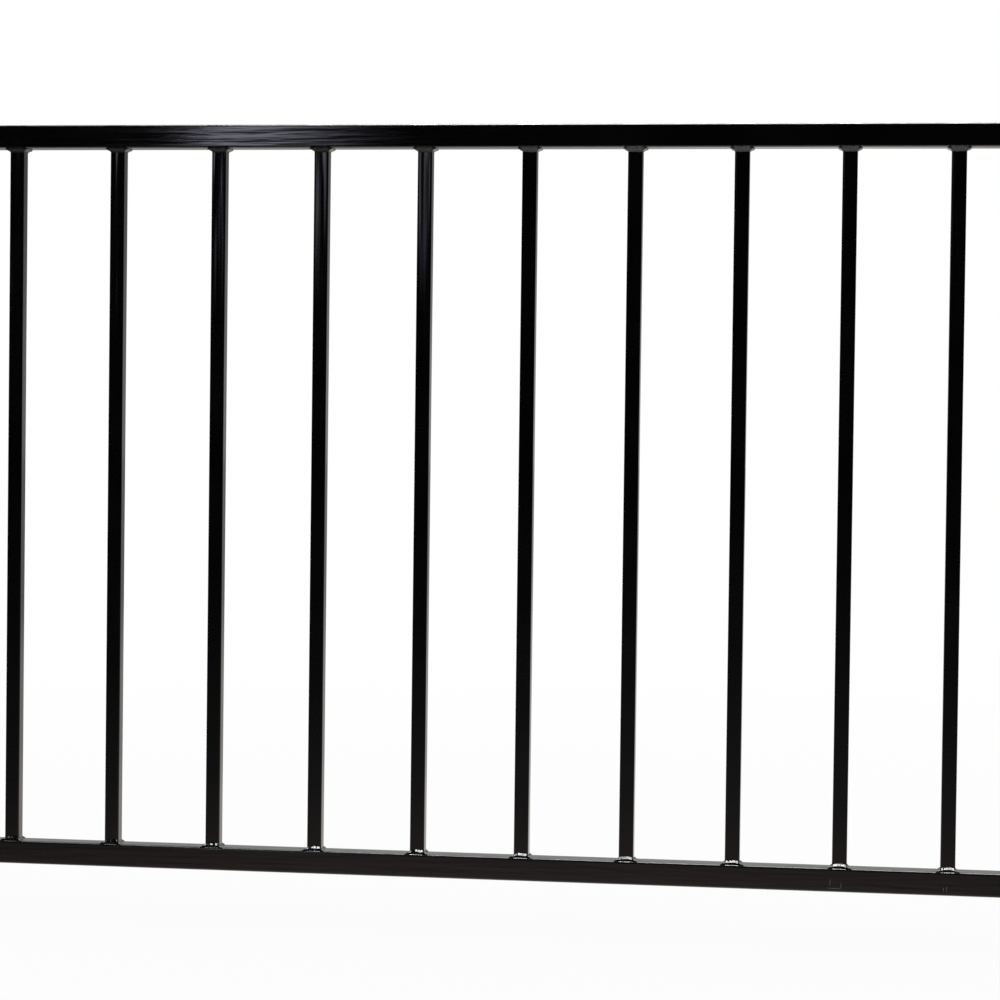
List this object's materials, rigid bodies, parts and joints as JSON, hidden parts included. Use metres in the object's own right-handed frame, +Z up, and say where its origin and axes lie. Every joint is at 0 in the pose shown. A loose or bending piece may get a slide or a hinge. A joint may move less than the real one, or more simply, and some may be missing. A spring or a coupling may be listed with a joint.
{
  "type": "metal fence panel",
  "caption": "Welded steel fence panel of slim square pickets butted between two square-tube rails, in glossy black powder coat, hung by its rail ends between posts.",
  "frame": {"origin": "middle of the bottom rail's left end face", "axes": "+X along the rails to the right as seen from the front, +Y through the panel from front to back, +Z up"},
  "size_m": [2.3622, 0.0254, 0.818],
  "materials": {
    "powder_coat": "glossy black powder coat",
    "weld_bead": "glossy black powder coat over a weld"
  },
  "bodies": {
    "root": {"bottom_rail": "powder_coat", "top_rail": "powder_coat", "picket_01": "powder_coat", "picket_02": "powder_coat", "picket_03": "powder_coat", "picket_04": "powder_coat", "picket_05": "powder_coat", "picket_06": "powder_coat", "picket_07": "powder_coat", "picket_08": "powder_coat", "picket_09": "powder_coat", "picket_10": "powder_coat", "picket_11": "powder_coat", "picket_12": "powder_coat", "picket_13": "powder_coat", "picket_14": "powder_coat", "picket_15": "powder_coat", "picket_16": "powder_coat", "picket_17": "powder_coat", "picket_18": "powder_coat", "picket_19": "powder_coat", "picket_20": "powder_coat", "bottom_rail_welds": "weld_bead", "top_rail_welds": "weld_bead"}
  },
  "joints": []
}
